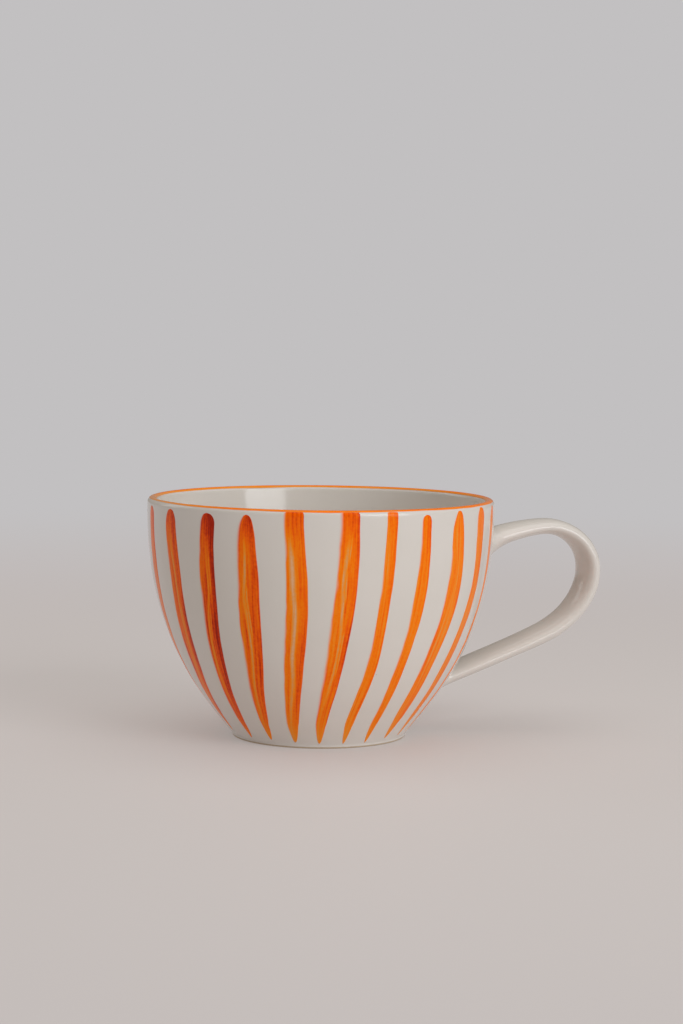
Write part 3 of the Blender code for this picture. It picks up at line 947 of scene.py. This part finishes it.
def soft_light(name, turn, distance, height, size, power, colour, mirrored):
    """A soft light round the bowl's axis, aimed at the middle of the mug."""
    data = bpy.data.lights.new(name, 'AREA')
    data.shape = 'RECTANGLE'
    data.size, data.size_y = size
    data.energy = power
    data.color = hex_linear(colour)[:3]
    data.specular_factor = mirrored
    lamp = add_object(name, data)
    angle = FRONT + math.radians(turn)
    lamp.location = (AXIS + distance * math.cos(angle), distance * math.sin(angle), height)
    aim = Vector((AXIS, 0, HEIGHT / 2)) - lamp.location
    lamp.rotation_euler = aim.to_track_quat('-Z', 'Y').to_euler()


def make_light():
    """A pale room all round, a broad window to the right of the front and a weaker one behind on the left."""
    room = bpy.data.worlds.new("room")
    bpy.context.scene.world = room
    room.use_nodes = True
    tree = room.node_tree
    ray = add(tree, "ShaderNodeLightPath")
    tone = add(tree, "ShaderNodeMix", {"Factor": ray.outputs["Is Camera Ray"], COLOUR_A: hex_linear(ROOM),
                                       COLOUR_B: hex_linear(BACKDROP)}, data_type='RGBA')
    tree.links.new(tone.outputs[COLOUR_OUT], tree.nodes["Background"].inputs["Color"])
    for light in LIGHTS:
        soft_light(*light)


CAMERA_TURN = -16               # the mug's own front, square to the handle, is turned this far from the view
CAMERA_DISTANCE = 799 * MM
CAMERA_HEIGHT = 138.6 * MM
CAMERA_DOWN = 4.60              # degrees below level
CAMERA_ASIDE = -0.49            # degrees off the bowl's axis, which leaves room for the handle
CAMERA_ROLL = 0.64
CAMERA_LENS = 85
FILM_WIDTH = 36


def rotation(degrees, axis):
    """A rotation about one axis."""
    return Matrix.Rotation(math.radians(degrees), 3, axis)


def make_camera():
    """A nearly level view from just above the rim, with the handle to the right."""
    data = bpy.data.cameras.new("camera")
    data.lens = CAMERA_LENS
    data.sensor_width = FILM_WIDTH
    data.clip_start = 10 * MM
    camera = add_object("camera", data)
    turn = math.radians(CAMERA_TURN)
    camera.location = (AXIS + CAMERA_DISTANCE * math.sin(turn), -CAMERA_DISTANCE * math.cos(turn),
                       CAMERA_HEIGHT)
    heading = rotation(CAMERA_TURN + CAMERA_ASIDE, 'Z')
    look = heading @ rotation(90 - CAMERA_DOWN, 'X') @ rotation(CAMERA_ROLL, 'Z')
    camera.rotation_euler = look.to_euler()
    bpy.context.scene.camera = camera
    bpy.context.scene.view_settings.view_transform = 'Standard'


def ride(piece, slot, *nodes):
    """The piece moves with the mug and may stand for CAD nodes, which are hidden. The slot is not used."""
    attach(piece, "root")
    if nodes:
        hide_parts(*nodes)


def make_mug():
    """Every piece of the mug."""
    glaze, orange, rim, clay = cream_glaze(), brushed_orange(), brushed_rim(), bare_clay()
    wheel, strap = wheel_tree(), strap_tree()
    bowl_guide = section_curve("bowl_section", SECTION)
    foot_guide = section_curve("foot_section", foot_section())
    axis = {"Axis": (AXIS, 0.0, 0.0), "Ripple_spacing": RIPPLE_SPACING}
    wrap = {"Section": bowl_guide, "Ripple": RIPPLE, **axis}

    skin = flat_ring("bowl_flat", SECTION, BOWL_SEGMENTS)
    bowl = run_tree("glazed_bowl", skin, wheel, Weld=WELD, Finish=glaze, **wrap)
    ride(bowl, "cream_glaze", "bowl")
    skin = flat_ring("foot_flat", foot_section(), FOOT_SEGMENTS)
    foot = run_tree("bare_foot_ring", skin, wheel, Section=foot_guide, Ripple=0.0, Weld=WELD / 2,
                    Finish=clay, **axis)
    ride(foot, "bare_foot")
    line = run_tree("painted_rim_line", flat_rim_line(), wheel, Weld=PAINT_WELD, Finish=rim, **wrap)
    ride(line, "orange_underglaze")
    for i, stroke in enumerate(list(STROKES) + strokes_behind()):
        name = "brush_stroke_%02d" % (i + 1)
        paint = flat_stroke(name, stroke, i + 1.0)
        piece = run_tree(name, paint, wheel, Weld=PAINT_WELD, Finish=orange, **wrap)
        ride(piece, "orange_underglaze")

    handle = make_handle(strap, glaze)
    ride(handle, "cream_glaze", "handle")
    path = strap_path()
    upper = slip_fillet("upper_handle_fillet", path[UPPER_STATIONS - 1::-1], UPPER_SLIP, glaze)
    ride(upper, "cream_glaze", "upper_slip_fillet")
    lower = slip_fillet("lower_handle_fillet", path[LOWER_STATIONS:], LOWER_SLIP, glaze)
    ride(lower, "cream_glaze", "lower_slip_fillet")
    for guide in (bowl_guide, foot_guide):
        bpy.data.objects.remove(guide)


make_camera()
make_floor()
make_light()
make_mug()
